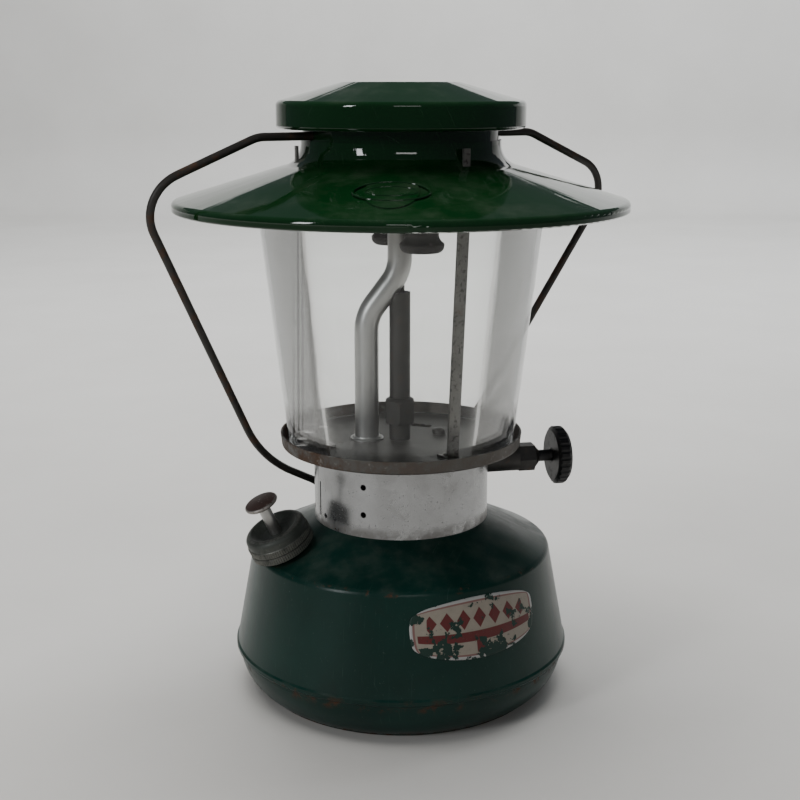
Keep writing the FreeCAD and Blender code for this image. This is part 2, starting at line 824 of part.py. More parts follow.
def build_valve():
    packing_depth = 3.4
    stem_bore = d.valve_stem_radius + d.running_clearance
    seat = 12.0
    riser_low = d.crown_height - 2.0
    bushing_bore = 6.0
    turned("tank_bushing", [
        (bushing_bore, d.crown_height - 4.5),
        (shell_bore + 2.5, d.crown_height - 4.5),
        (shell_bore + 2.5, d.crown_height - d.sheet_wall),
        (shell_bore, d.crown_height - d.sheet_wall),
        (shell_bore, d.crown_height + 0.6),
        (11.3, d.crown_height + 0.6),
        (11.3, d.crown_height + 5.4),
        (bushing_bore + 3.0, d.crown_height + 5.4),
        (bushing_bore, d.crown_height + 5.4),
    ], at(0, 0, 0))

    top = d.generator_nut_low
    boss = valve_boss_radius
    parts = [
        cylinder("valve_riser", bushing_bore - 0.05, d.valve_height - riser_low,
                 at(0, 0, riser_low)),
        cylinder("valve_core", 9.0, 17.0, at(-0.5, 2.5, d.valve_height - 8.5)),
        cylinder("valve_outlet", boss, top - d.valve_height,
                 at(d.generator_x, d.generator_y, d.valve_height)),
        cylinder("valve_arm", d.valve_radius, d.valve_reach, valve_frame()),
    ]
    body = joined("valve_blank", parts)
    tools = [
        cylinder("valve_stem_bore", stem_bore, d.valve_reach - seat + 10.0, valve_frame(seat)),
        cylinder("valve_packing_bore", stem_bore + 1.5, packing_depth + 10.0,
                 valve_frame(d.valve_reach - packing_depth)),
        cylinder("valve_fuel_way", 1.2, seat + 4.0, valve_frame()),
        cylinder("valve_outlet_way", 1.6, 40.0, at(d.generator_x, d.generator_y, d.valve_height)),
        cylinder("valve_outlet_socket", d.generator_radius + 0.02, 6.0,
                 at(d.generator_x, d.generator_y, top - 6.0)),
        cylinder("pickup_socket", 3.02, 8.0, at(0, 0, riser_low - 1.0)),
    ]
    finished(cut_away("valve_body", body, tools))

    turned("fuel_pickup_tube", ring_outline(2.2, 3.0, 8.5, riser_low + 6.9), at(0, 0, 0))
    turned("stem_packing", ring_outline(
        stem_bore, stem_bore + 1.45, d.valve_reach - packing_depth + 0.05, d.valve_reach + 0.9),
        valve_frame())

    nut_low = d.valve_reach + 0.05
    nut_high = nut_low + d.packing_nut_length
    nut = new_body("packing_nut_hex")
    pad(nut, hexagon_sketch(nut, "packing_nut_hexagon", d.packing_nut_flats),
        d.packing_nut_length)
    nut.Placement = valve_frame(nut_low)
    cone = doc.addObject("Part::Cone", "packing_nut_cone")
    for prop, size in (("Radius1", d.packing_nut_flats / 2), ("Radius2", d.valve_hub_radius + 0.9),
                       ("Height", Size.of(2.4))):
        setattr(cone, prop, size.value)
        cone.setExpression(prop, size.text)
    cone.Placement = valve_frame(nut_high)
    tools = [
        cylinder("packing_nut_bore", stem_bore, 20.0, valve_frame(nut_low - 1.0)),
        cylinder("packing_nut_socket", stem_bore + 1.5, 2.0, valve_frame(nut_low - 1.0)),
    ]
    finished(cut_away("packing_nut", joined("packing_nut_blank", [nut, cone]), tools))

    knob_low = d.valve_knob_reach - d.valve_knob_length / 2
    knob_high = knob_low + d.valve_knob_length
    hub_low = nut_high + 2.4 + 0.5
    knob_hole = d.valve_stem_radius
    turned("valve_stem", [
        (0, seat + 1.2),
        (d.valve_stem_radius, seat + 1.2 + d.valve_stem_radius),
        (d.valve_stem_radius, knob_high - 1.6),
        (0, knob_high - 1.6),
    ], valve_frame())
    knob = turned_body("valve_knob_blank", [
        (knob_hole, hub_low),
        (d.valve_hub_radius, hub_low),
        (d.valve_hub_radius, knob_low - 1.2),
        (d.valve_hub_radius + 1.2, knob_low, -1.3),
        (d.valve_knob_radius - 2.2, knob_low),
        (d.valve_knob_radius, knob_low + 1.3),
        (d.valve_knob_radius, knob_high - 1.8),
        (d.valve_knob_radius - 1.8, knob_high, 1.9),
        (d.valve_knob_radius - 4.0, knob_high, 1.1),
        (5.6, knob_high - 1.4),
        (4.6, knob_high - 0.6),
        (knob_hole, knob_high - 0.6),
    ])
    teeth = circle_sketch(knob, "knob_teeth", "XY_Plane", [(d.valve_knob_radius + 0.55, 0, 1.25)])
    notch_ring(knob, teeth, d.valve_knob_teeth)
    knob.Label = "valve_knob"
    finished(knob, valve_frame())
    turned("knob_screw", [
        (0, knob_high - 1.55),
        (1.4, knob_high - 1.55),
        (1.4, knob_high - 0.55),
        (3.4, knob_high - 0.55),
        (3.2, knob_high + 0.5),
        (0, knob_high + 1.1, dome(Size.of(3.2), 0.6)),
    ], valve_frame())


# --- generator, mixing tube and burners ------------------------------------

def build_generator():
    low = d.generator_nut_low
    nut = new_body("generator_nut_hex")
    pad(nut, hexagon_sketch(nut, "generator_nut_hexagon", d.generator_nut_flats),
        d.generator_nut_high - low)
    corner = d.generator_nut_flats / (2 * math.cos(math.radians(30)))
    dome = turned_body("generator_nut_dome", [
        (0, -1.0),
        (corner - 1.4, -1.0),
        (corner + 0.2, 2.2, 6.0),
        (corner + 0.2, d.generator_nut_high - low - 3.6),
        (corner * 0.62, d.generator_nut_high - low, 5.0),
        (0, d.generator_nut_high - low),
    ])
    common = doc.addObject("Part::Common", "generator_nut_blank")
    common.Base = nut
    common.Tool = dome
    bore = cylinder("generator_nut_bore", d.generator_radius + 0.05, 30.0, at(0, 0, -2.0))
    nut_piece = cut_away("generator_nut", common, [bore])
    finished(nut_piece, at(d.generator_x, d.generator_y, low + 0.02))

    sleeve = turned_body("generator_sleeve_blank", [
        (d.generator_radius + 0.06, d.generator_nut_high + 0.05),
        (d.sleeve_radius, d.generator_nut_high + 0.05),
        (d.sleeve_radius, d.sleeve_top),
        (d.sleeve_radius - 1.0, d.sleeve_top),
        (d.sleeve_radius - 1.0, d.generator_nut_high + 2.2),
        (d.generator_radius + 0.06, d.generator_nut_high + 2.2),
    ])
    sleeve.Placement = at(d.generator_x, d.generator_y, 0)
    saddle = doc.addObject("Part::Feature", "generator_sleeve_saddle")
    saddle.Shape = rod_along(mixing_path(), d.mixing_tube_radius.value + 0.15)
    finished(cut_away("generator_sleeve", sleeve, [saddle]))

    jet_low = d.sleeve_top + 6.0
    turned("generator_tube", ring_outline(1.5, d.generator_radius, low - 5.9, jet_low),
           at(d.generator_x, d.generator_y, 0))
    turned("generator_jet", [
        (0.3, jet_low - 3.0),
        (1.45, jet_low - 3.0),
        (1.45, jet_low + 0.05),
        (d.generator_radius - 0.2, jet_low + 0.05),
        (1.0, jet_low + 4.0),
        (0.3, jet_low + 4.0),
    ], at(d.generator_x, d.generator_y, 0))


def mixing_path():
    """Centre line of the air tube: up beside the generator, an S bend, up above it."""
    low = d.plate_height.value - 12.0
    head = (d.generator_x.value, d.generator_y.value)
    foot = (head[0] - d.mixing_offset.value, head[1])
    rise = d.mixing_bend_high.value - d.mixing_bend_low.value
    lead = 0.2 * rise
    turn = math.atan2(d.mixing_offset.value, rise - 2 * lead)
    radius = 0.95 * lead / math.tan(turn / 2)
    points = [
        FreeCAD.Vector(*foot, low),
        FreeCAD.Vector(*foot, d.mixing_bend_low.value + lead),
        FreeCAD.Vector(*head, d.mixing_bend_high.value - lead),
        FreeCAD.Vector(*head, d.manifold_height.value - d.manifold_radius.value + 0.6),
    ]
    return bent_path(points, [radius, radius])


def build_mixing_tube():
    path = mixing_path()
    bore = rod_along(path, d.mixing_tube_radius.value - d.tube_wall.value)
    shape = rod_along(path, d.mixing_tube_radius.value).cut(bore)
    jet_base = FreeCAD.Vector(d.generator_x.value, d.generator_y.value, d.sleeve_top.value - 16.0)
    jet_way = Part.makeCylinder(d.generator_radius.value + 0.1, 22.5, jet_base)
    bent_piece("mixing_tube", shape.cut(jet_way))

    inner = d.mixing_tube_radius + 0.05
    turned("mixing_tube_ring", [
        (inner, floor_top),
        (d.mixing_tube_radius + 2.3, floor_top),
        (d.mixing_tube_radius + 2.3, floor_top + 0.7),
        (d.mixing_tube_radius + 0.9, floor_top + 1.5, -1.2),
        (inner, floor_top + 1.5),
    ], at(d.generator_x - d.mixing_offset, d.generator_y, 0))


def burner_spots():
    """The two burners stand on a line through a point beside the mixing tube."""
    angle = math.radians(d.burner_azimuth.value)
    half = (d.mixing_tube_radius + d.burner_lip_radius + d.burner_gap).value
    middle = FreeCAD.Vector(d.generator_x.value + 3.6, d.generator_y.value - 0.3, 0)
    along = FreeCAD.Vector(math.cos(angle), math.sin(angle), 0)
    return {"burner_cap_front": middle + along * half, "burner_cap_rear": middle - along * half}


def build_burners():
    height = d.manifold_height.value
    radius = d.manifold_radius.value
    centre = FreeCAD.Vector(d.generator_x.value, d.generator_y.value, height)
    up = FreeCAD.Vector(0, 0, 1)
    solid = Part.makeCylinder(radius + 1.2, 2 * radius, centre - up * radius)
    hollow = Part.makeCylinder(radius - 0.9, 2 * radius - 3.0, centre - up * (radius - 1.5))
    throat = d.burner_throat_radius.value - 1.2
    cap_length = d.manifold_height - d.manifold_radius - 0.5 - d.burner_low
    seat = d.burner_low.value + cap_length.value - 3.5
    for spot in burner_spots().values():
        spot = spot + up * height
        arm = spot - centre
        solid = solid.fuse(Part.makeCylinder(radius, arm.Length, centre, arm))
        solid = solid.fuse(Part.makeSphere(radius, spot))
        solid = solid.fuse(Part.makeCylinder(throat, height - seat, spot, -up))
        hollow = hollow.fuse(Part.makeCylinder(radius - 1.6, arm.Length, centre, arm))
        hollow = hollow.fuse(Part.makeSphere(radius - 1.6, spot))
        hollow = hollow.fuse(Part.makeCylinder(throat - 1.4, height - seat + 4.0, spot, -up))
    tube = d.mixing_tube_radius.value + 0.05
    socket = Part.makeCylinder(tube, 12.0, centre - up * (radius + 11.0))
    shape = solid.cut(hollow).cut(socket)
    bent_piece("burner_manifold", shape.removeSplitter())

    lip = d.burner_lip_radius
    neck = d.burner_throat_radius
    bore = Size.of(throat) + 0.05
    screens = []
    for label, spot in burner_spots().items():
        low = d.burner_low
        turned(label, [
            (neck - 1.0, low + 0.4),
            (lip - 2.2, low),
            (lip, low + 3.0, 3.2),
            (lip - 0.4, low + 4.6, 1.4),
            (neck, low + 8.0, -5.0),
            (neck, low + cap_length),
            (bore, low + cap_length),
            (bore, low + 5.0),
            (neck - 1.0, low + 4.0),
        ], at(spot.x, spot.y, 0))
        screen = doc.addObject("Part::Cylinder", f"{label}_screen")
        screen.Radius = bore.value - 0.02
        screen.Height = 0.8
        screen.Placement = at(spot.x, spot.y, low + 6.0)
        screens.append(screen)
    group("burner_screens", screens)


# --- globe and hood --------------------------------------------------------

def build_globe():
    low = floor_top + d.globe_clearance
    wall = d.globe_wall
    high = low + d.globe_length
    turned("globe", [
        (d.globe_low_radius - wall, low + 0.4),
        (d.globe_low_radius - wall / 2, low, 1.4),
        (d.globe_low_radius, low + 0.4, 1.4),
        (d.globe_high_radius, high - 0.4),
        (d.globe_high_radius - wall / 2, high, 1.4),
        (d.globe_high_radius - wall, high - 0.4, 1.4),
    ])


cone_slope = (d.shade_crease_height - d.shade_lip_high) / (d.shade_radius - d.shade_crease_radius)
cap_slope = (d.overall_height - d.vent_cap_high) / (d.vent_cap_radius - d.vent_cap_flat_radius)


def raised_oval():
    """Oval pressed outwards in the front of the shade's cone."""
    inner = d.badge_circle - d.badge_length * 0.6
    outer = d.badge_circle + d.badge_length * 0.6
    inner_high = d.shade_crease_height - (inner - d.shade_crease_radius) * cone_slope
    outer_high = d.shade_crease_height - (outer - d.shade_crease_radius) * cone_slope
    skin = turned_body("shade_oval_skin", [
        (inner, inner_high - d.hood_wall / 2),
        (outer, outer_high - d.hood_wall / 2),
        (outer, outer_high + d.badge_relief),
        (inner, inner_high + d.badge_relief),
    ])
    outline = doc.addObject("Part::Ellipse", "shade_oval_outline")
    outline.setExpression("MajorRadius", (d.badge_length / 2).text)
    outline.setExpression("MinorRadius", (d.badge_width / 2).text)
    outline.Placement = around(d.badge_circle, d.badge_azimuth.value, d.shade_lip_low)
    prism = doc.addObject("Part::Extrusion", "shade_oval_prism")
    prism.Base = outline
    prism.DirMode = "Custom"
    prism.Dir = FreeCAD.Vector(0, 0, 1)
    prism.setExpression("LengthFwd", (d.shade_crease_height - d.shade_lip_low).text)
    prism.Solid = True
    oval = doc.addObject("Part::MultiCommon", "shade_oval")
    oval.Shapes = [skin, prism]
    return oval


def build_shade():
    wall = d.hood_wall
    flare_x = d.shade_crease_radius - d.hood_neck_radius
    flare_z = d.hood_neck_height - d.shade_crease_height
    flare = (flare_x * flare_x + flare_z * flare_z) / (flare_x * 2)
    grown = (flare + wall) / flare
    inner_crease_x = d.hood_neck_radius + flare - (flare - flare_x) * grown
    inner_crease_z = d.hood_neck_height - flare_z * grown
    top = d.hood_neck_height + d.hood_collar_height
    shade = turned_body("shade_blank", [
        (d.hood_neck_radius, top),
        (d.hood_neck_radius - wall, top),
        (d.hood_neck_radius - wall, d.hood_neck_height),
        (inner_crease_x, inner_crease_z, flare + wall),
        (d.shade_radius - 1.6, d.shade_lip_high - wall - 0.1),
        (d.shade_radius - wall, d.shade_lip_high - 2.6, -2.0),
        (d.shade_radius - wall, d.shade_lip_low + 1.0),
        (d.shade_radius - 1.7, d.shade_lip_low + 0.5),
        (d.shade_radius - 1.5, d.shade_lip_low),
        (d.shade_radius, d.shade_lip_low + 0.8, 1.4),
        (d.shade_radius, d.shade_lip_high - 2.4),
        (d.shade_radius - 2.0, d.shade_lip_high + cone_slope * 2.0, 2.6),
        (d.shade_crease_radius, d.shade_crease_height),
        (d.hood_neck_radius, d.hood_neck_height, -flare),
    ])
    shade = joined("shade_with_oval", [shade, raised_oval()])
    tab_circle = d.hood_neck_radius + 3.2
    tools = []
    for label, azimuth in STRAP_AZIMUTHS.items():
        place = around(tab_circle, azimuth, d.shade_crease_height)
        tools.append(block(f"{label}_slot", d.strap_wall + 0.9, d.strap_tab_width + 0.9, 12.0, place))
    finished(cut_away("shade", shade, tools))


def build_vent():
    wall = d.hood_wall
    outer = d.hood_neck_radius - wall - d.hood_fit
    inner = outer - wall
    low = d.hood_neck_height - 5.0

    def under_roof(radius):
        return d.overall_height - wall - 0.15 - (radius - d.vent_cap_flat_radius) * cap_slope

    neck = turned_body("vent_neck_blank", [
        (inner, low),
        (outer, low),
        (outer, under_roof(outer)),
        (inner, under_roof(inner)),
    ])
    tools = []
    windows = 14
    window_low = d.vent_cap_low + 2.0
    window_height = under_roof(outer) - 3.0 - window_low
    for index in range(windows // 2):
        azimuth = d.bail_azimuth + (index + 0.5) * 360.0 / windows
        place = at(0, 0, window_low, azimuth)
        tools.append(block(f"vent_window_{index}", 120.0, 12.0, window_height, place))
    hole = cylinder("bail_hole", d.bail_wire_radius + d.bail_hole_clearance, 120.0,
                    at(0, 0, d.bail_height, d.bail_azimuth, 90.0).multiply(
                        FreeCAD.Placement(FreeCAD.Vector(0, 0, -60), FreeCAD.Rotation())))
    tools.append(hole)
    finished(cut_away("vent_neck", neck, tools))

    cap = d.vent_cap_radius
    outer_bend = (cap_slope + 1.0) * 1.947
    inner_bend = (cap_slope * 1.6 + 1.4) * 1.079
    turned("vent_cap", [
        (0, d.overall_height - wall),
        (d.vent_cap_flat_radius, d.overall_height - wall),
        (cap - wall - 1.6, d.vent_cap_high - wall + cap_slope * 1.6),
        (cap - wall, d.vent_cap_high - 2.2, -inner_bend),
        (cap - wall, d.vent_cap_low + 1.4),
        (cap - wall - 0.9, d.vent_cap_low + 0.7, -1.2),
        (cap - wall - 0.9, d.vent_cap_low),
        (cap, d.vent_cap_low + 1.5, 1.9),
        (cap, d.vent_cap_high - 2.0),
        (cap - 2.0, d.vent_cap_high + cap_slope * 2.0, outer_bend),
        (d.vent_cap_flat_radius, d.overall_height),
        (0, d.overall_height),
    ])


# --- bail ------------------------------------------------------------------

def build_bail():
    """One bent wire: hook, foot, arm, corner and crossbar, the same on both sides."""
    tip_back = hook_tip()
    half = [
        bail_point(d.bail_hook_half, d.bail_hook_drop, tip_back),
        bail_point(d.bail_hook_half, d.bail_hook_drop),
        bail_point(d.bail_foot_half, d.bail_foot_drop),
        bail_point(d.bail_corner_half, d.bail_corner_drop),
        bail_point(d.bail_crossbar_half, 0.0),
    ]
    other = [
        bail_point(-d.bail_crossbar_half, 0.0),
        bail_point(-d.bail_corner_half, d.bail_corner_drop),
        bail_point(-d.bail_foot_half, d.bail_foot_drop),
        bail_point(-d.bail_hook_half, d.bail_hook_drop),
        bail_point(-d.bail_hook_half, d.bail_hook_drop, tip_back),
    ]
    bends = [4.0, 66.0, 20.0, 16.0]
    path = bent_path(half + other, bends + bends[::-1])
    bent_piece("bail_handle", rod_along(path, d.bail_wire_radius.value))


def hook_tip():
    """How far the hook's end lies in front of the bail's plane, just inside the collar."""
    reach = math.sqrt(d.collar_radius.value ** 2 - d.bail_hook_half.value ** 2)
    spot = bail_point(0.0, d.bail_hook_drop)
    behind = math.hypot(spot.x, spot.y) - reach
    return -(behind + 4.0)


build_filler()
build_collar()
build_plate()
build_fasteners()
build_straps()
build_valve()
build_generator()
build_mixing_tube()
build_burners()
build_globe()
build_shade()
build_vent()
build_bail()


# --- write the sub-parts ---------------------------------------------------

doc.recompute()
for item in doc.Objects:
    if {"Invalid", "Error"} & set(item.State):
        raise RuntimeError(f"{item.Name} failed: {item.State}")
os.makedirs("parts", exist_ok=True)
for piece in PIECES:
    if piece.Shape.isNull() or not piece.Shape.isValid():
        raise RuntimeError(f"{piece.Label} has no valid shape")
    piece.Shape.exportStep(os.path.join("parts", f"{piece.Label}.step"))
print(len(PIECES), "sub-parts written")
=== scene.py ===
import json
import math
import bpy
import bmesh
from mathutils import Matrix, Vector


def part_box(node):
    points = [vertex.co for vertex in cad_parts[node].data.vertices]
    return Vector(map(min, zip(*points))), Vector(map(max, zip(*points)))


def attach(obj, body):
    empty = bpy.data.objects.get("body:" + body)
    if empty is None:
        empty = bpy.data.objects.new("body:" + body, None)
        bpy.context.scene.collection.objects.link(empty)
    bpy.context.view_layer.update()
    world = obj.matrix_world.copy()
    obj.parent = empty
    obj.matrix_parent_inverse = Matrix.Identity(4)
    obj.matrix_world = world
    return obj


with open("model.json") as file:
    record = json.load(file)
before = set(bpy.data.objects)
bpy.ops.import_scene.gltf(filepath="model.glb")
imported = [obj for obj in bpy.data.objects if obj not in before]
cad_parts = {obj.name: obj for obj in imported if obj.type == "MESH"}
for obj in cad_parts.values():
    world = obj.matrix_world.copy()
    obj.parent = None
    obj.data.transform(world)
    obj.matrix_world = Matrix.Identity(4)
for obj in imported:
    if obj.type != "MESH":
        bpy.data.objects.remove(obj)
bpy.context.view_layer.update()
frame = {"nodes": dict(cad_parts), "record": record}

nodes = frame["nodes"]


# --- shader values and finishes ---------------------------------------------

class Value:
    """A shader socket that can be used in sums, each adding its Math node."""

    def __init__(self, finish, socket):
        self.finish = finish
        self.socket = socket

    def sum(self, operation, *terms):
        return self.finish.node("Math", {"operation": operation}, dict(enumerate(terms)))

    def __add__(self, other):
        return self.sum("ADD", self, other)

    def __radd__(self, other):
        return self.sum("ADD", other, self)

    def __sub__(self, other):
        return self.sum("SUBTRACT", self, other)

    def __rsub__(self, other):
        return self.sum("SUBTRACT", other, self)

    def __mul__(self, other):
        return self.sum("MULTIPLY", self, other)

    def __rmul__(self, other):
        return self.sum("MULTIPLY", other, self)

    def __truediv__(self, other):
        return self.sum("DIVIDE", self, other)

    def __pow__(self, other):
        return self.sum("POWER", self, other)

    def size(self):
        return self.sum("ABSOLUTE", self)

    def most(self, other):
        return self.sum("MAXIMUM", self, other)

    def step(self, low, high):
        """0 below low, 1 above high and an even curve between; low may be above high."""
        return self.finish.node(
            "MapRange", {"interpolation_type": "SMOOTHSTEP"},
            {"Value": self, "From Min": low, "From Max": high, "To Min": 0.0, "To Max": 1.0})


class Finish:
    """One material, with methods that add its nodes."""

    def __init__(self, name, **surface):
        self.material = bpy.data.materials.new(name)
        self.material.use_nodes = True
        self.tree = self.material.node_tree
        self.shader = self.tree.nodes["Principled BSDF"]
        for socket, amount in surface.items():
            self.shader.inputs[socket.replace("_", " ")].default_value = amount
        self.spot = self.node("TexCoord", output="Object")

    def node(self, kind, settings=None, sockets=None, output=0):
        made = self.tree.nodes.new("ShaderNode" + kind)
        for key, setting in (settings or {}).items():
            if key == "stops":
                self.set_stops(made.color_ramp, setting)
            else:
                setattr(made, key, setting)
        for key, amount in (sockets or {}).items():
            self.feed(made.inputs[key], amount)
        return Value(self, made.outputs[output])

    def set_stops(self, ramp, stops):
        while len(ramp.elements) < len(stops):
            ramp.elements.new(0.5)
        for element, (position, colour) in zip(ramp.elements, stops):
            element.position = position
            element.color = (*colour, 1.0)

    def feed(self, socket, amount):
        if isinstance(amount, Value):
            self.tree.links.new(amount.socket, socket)
        else:
            socket.default_value = amount

    def surface(self, **sockets):
        for socket, amount in sockets.items():
            self.feed(self.shader.inputs[socket.replace("_", " ")], amount)
        return self

    def vector(self, operation, first, second, output=0):
        return self.node("VectorMath", {"operation": operation}, {0: first, 1: second}, output)

    def noise(self, width, detail=3.0, roughness=0.55, where=None, stretch=None):
        """Noise from 0 to 1 whose blotches are about width millimetres across."""
        where = where or self.spot
        if stretch:
            where = self.vector("MULTIPLY", where, stretch)
        return self.node("TexNoise", {}, {
            "Vector": where, "Scale": 1000.0 / width, "Detail": detail, "Roughness": roughness})

    def cells(self, width, feature="F1", output="Distance"):
        return self.node("TexVoronoi", {"feature": feature}, {
            "Vector": self.spot, "Scale": 1000.0 / width}, output)

    def split(self, where=None):
        pieces = self.tree.nodes.new("ShaderNodeSeparateXYZ")
        self.feed(pieces.inputs[0], where or self.spot)
        return [Value(self, out) for out in pieces.outputs]

    def join(self, x, y, z):
        return self.node("CombineXYZ", {}, {0: x, 1: y, 2: z})

    def polar(self):
        """(radius, azimuth in radians, height) about the lantern's axis."""
        x, y, z = self.split()
        return (x * x + y * y) ** 0.5, self.node("Math", {"operation": "ARCTAN2"}, {0: y, 1: x}), z

    def upward(self):
        """1 where the surface faces the sky and 0 where it stands upright or faces down."""
        facing = self.node("NewGeometry", output="Normal")
        return self.split(facing)[2].step(0.25, 0.95)

    def blend(self, factor, first, second):
        colours = {6: first, 7: second}
        for key, colour in colours.items():
            if not isinstance(colour, Value):
                colours[key] = (*colour, 1.0)
        return self.node("Mix", {"data_type": "RGBA"}, {0: factor, **colours}, 2)

    def bump(self, height, depth, strength=1.0, under=None):
        """Bump whose full height is depth millimetres."""
        sockets = {"Height": height, "Distance": depth / 1000.0, "Strength": strength}
        if under:
            sockets["Normal"] = under
        return self.node("Bump", {}, sockets)

    def scratches(self, angle, width=14.0, fine=0.35, low=0.73):
        """Thin long marks that run one way, about width millimetres long."""
        turned = self.node("VectorRotate", {"rotation_type": "EULER_XYZ"},
                           {"Vector": self.spot, "Rotation": angle})
        lines = self.noise(1.0, 1.0, 0.4, turned, (1.0 / fine, 1.0 / width, 1.0 / width))
        return lines.step(low, low + 0.05)


# --- painted metal ----------------------------------------------------------

def glossy_enamel():
    finish = Finish("hood_enamel", Coat_Roughness=0.02, IOR=1.42)
    radius, azimuth, height = finish.polar()
    cloud = finish.noise(60.0, 3.0)
    grime = finish.noise(7.0, 6.0, 0.68)
    rays = finish.noise(1.0, 2.0, 0.5, finish.join(azimuth * 0.010, radius * 0.012, height * 0.02))
    chips = finish.noise(2.6, 7.0, 0.7).step(0.765, 0.780)
    dust = finish.upward() * finish.noise(22.0, 6.0, 0.65).step(0.42, 0.8)
    marks = finish.scratches((0.4, 0.3, 0.5)).most(finish.scratches((0.2, 1.1, 2.1), 22.0, 0.3, 0.75))
    paint = finish.blend(cloud.step(0.35, 0.7), (0.0022, 0.0205, 0.0050), (0.0030, 0.0240, 0.0062))
    paint = finish.blend(grime.step(0.55, 0.8) * 0.15, paint, (0.006, 0.014, 0.005))
    paint = finish.blend(dust * 0.07, paint, (0.30, 0.29, 0.25))
    paint = finish.blend(marks * 0.10, paint, (0.10, 0.15, 0.10))
    paint = finish.blend(chips, paint, (0.035, 0.018, 0.010))
    ripples = finish.bump(finish.noise(34.0, 2.0, 0.4), 0.22)
    ripples = finish.bump(rays, 0.16, 1.0, ripples)
    skin = finish.bump(finish.noise(1.6, 2.0), 0.008, 1.0, ripples)
    relief = finish.bump(chips * -1.0, 0.12, 1.0, skin)
    return finish.surface(
        Base_Color=paint,
        Roughness=0.03 + grime * 0.03 + dust * 0.08 + chips * 0.5 + marks * 0.10,
        Coat_Weight=0.3 - chips * 0.3,
        Normal=relief)


def tank_enamel(name="tank_paint"):
    finish = Finish(name, Coat_Roughness=0.20, IOR=1.30)
    radius, azimuth, height = finish.polar()
    cloud = finish.noise(48.0, 4.0)
    grime = finish.noise(9.0, 7.0, 0.7)
    speckle = finish.noise(1.1, 3.0, 0.6).step(0.66, 0.74)
    chips = finish.noise(4.2, 8.0, 0.72).step(0.725, 0.745)
    crease = (height - 0.0735).size().step(0.0022, 0.0002)
    crease = crease * finish.noise(6.0, 6.0, 0.7).step(0.56, 0.66)
    seam = (height - 0.0205).size().step(0.0052, 0.0008) * finish.noise(11.0, 6.0, 0.7).step(0.50, 0.66)
    foot = height.step(0.005, 0.0005) * finish.noise(5.0, 6.0, 0.7).step(0.45, 0.62)
    worn = chips.most(crease * 0.8).most(seam * 0.9).most(foot)
    dust = finish.upward() * finish.noise(16.0, 6.0, 0.6).step(0.40, 0.75)
    marks = finish.scratches((0.1, 0.0, 0.4), 18.0)
    marks = marks.most(finish.scratches((1.2, 0.5, 0.2), 12.0, 0.3, 0.76))
    paint = finish.blend(cloud.step(0.3, 0.7), (0.0014, 0.0180, 0.0135), (0.0024, 0.0260, 0.0195))
    paint = finish.blend(grime.step(0.52, 0.85) * 0.45, paint, (0.006, 0.013, 0.010))
    paint = finish.blend(speckle * 0.25, paint, (0.10, 0.13, 0.11))
    paint = finish.blend(dust * 0.09, paint, (0.30, 0.28, 0.24))
    paint = finish.blend(marks * 0.14, paint, (0.10, 0.16, 0.13))
    rust = finish.blend(grime, (0.020, 0.011, 0.008), (0.11, 0.040, 0.015))
    paint = finish.blend(worn, paint, rust)
    ripples = finish.bump(finish.noise(34.0, 2.0, 0.4), 0.22)
    skin = finish.bump(finish.noise(1.3, 3.0), 0.018, 1.0, ripples)
    relief = finish.bump(worn * -1.0, 0.12, 1.0, skin)
    return finish.surface(
        Base_Color=paint,
        Roughness=0.24 + grime * 0.14 + dust * 0.18 + worn * 0.4,
        Coat_Weight=0.06 - worn * 0.06,
        Normal=relief)


def wire_black():
    finish = Finish("bail_wire", Specular_IOR_Level=0.5)
    grain = finish.noise(2.2, 6.0, 0.7)
    rust = finish.noise(9.0, 7.0, 0.7).step(0.50, 0.64)
    bare = finish.noise(3.0, 6.0, 0.65).step(0.64, 0.72)
    colour = finish.blend(grain, (0.010, 0.009, 0.008), (0.026, 0.021, 0.017))
    colour = finish.blend(rust * 0.8, colour, (0.060, 0.030, 0.016))
    colour = finish.blend(bare * 0.5, colour, (0.12, 0.11, 0.10))
    return finish.surface(
        Base_Color=colour,
        Metallic=0.15 + bare * 0.6,
        Roughness=0.42 + rust * 0.3 + grain * 0.1,
        Normal=finish.bump(grain + rust * 0.8, 0.07))


# --- bare, plated and rusty metal -------------------------------------------

def mottled_collar():
    finish = Finish("collar_metal", Anisotropic=0.5)
    radius, azimuth, height = finish.polar()
    spangle = finish.cells(7.0, output="Color")
    spangle = finish.split(spangle)[0]
    cloud = finish.noise(13.0, 6.0, 0.66)
    stain = finish.noise(24.0, 7.0, 0.72).step(0.55, 0.75)
    pits = finish.noise(1.0, 4.0, 0.6).step(0.64, 0.72)
    brushed = finish.noise(1.0, 2.0, 0.6, finish.join(azimuth * 0.003, radius * 0.3, height * 1.8))
    low_band = height.step(0.0955, 0.0905)
    dirt = (low_band * finish.noise(8.0, 6.0, 0.7).step(0.35, 0.6)).most(stain * 0.5)
    colour = finish.blend(cloud, (0.26, 0.262, 0.260), (0.46, 0.468, 0.475))
    colour = finish.blend(spangle * 0.22, colour, (0.22, 0.22, 0.22))
    colour = finish.blend(pits * 0.5, colour, (0.16, 0.15, 0.14))
    colour = finish.blend(dirt * 0.55, colour, (0.14, 0.12, 0.10))
    height_map = cloud * 0.5 + brushed * 0.25 - pits * 0.7
    return finish.surface(
        Base_Color=colour,
        Metallic=0.88 - dirt * 0.5,
        Roughness=0.19 + cloud * 0.10 + pits * 0.2 + dirt * 0.25,
        Normal=finish.bump(height_map, 0.06))


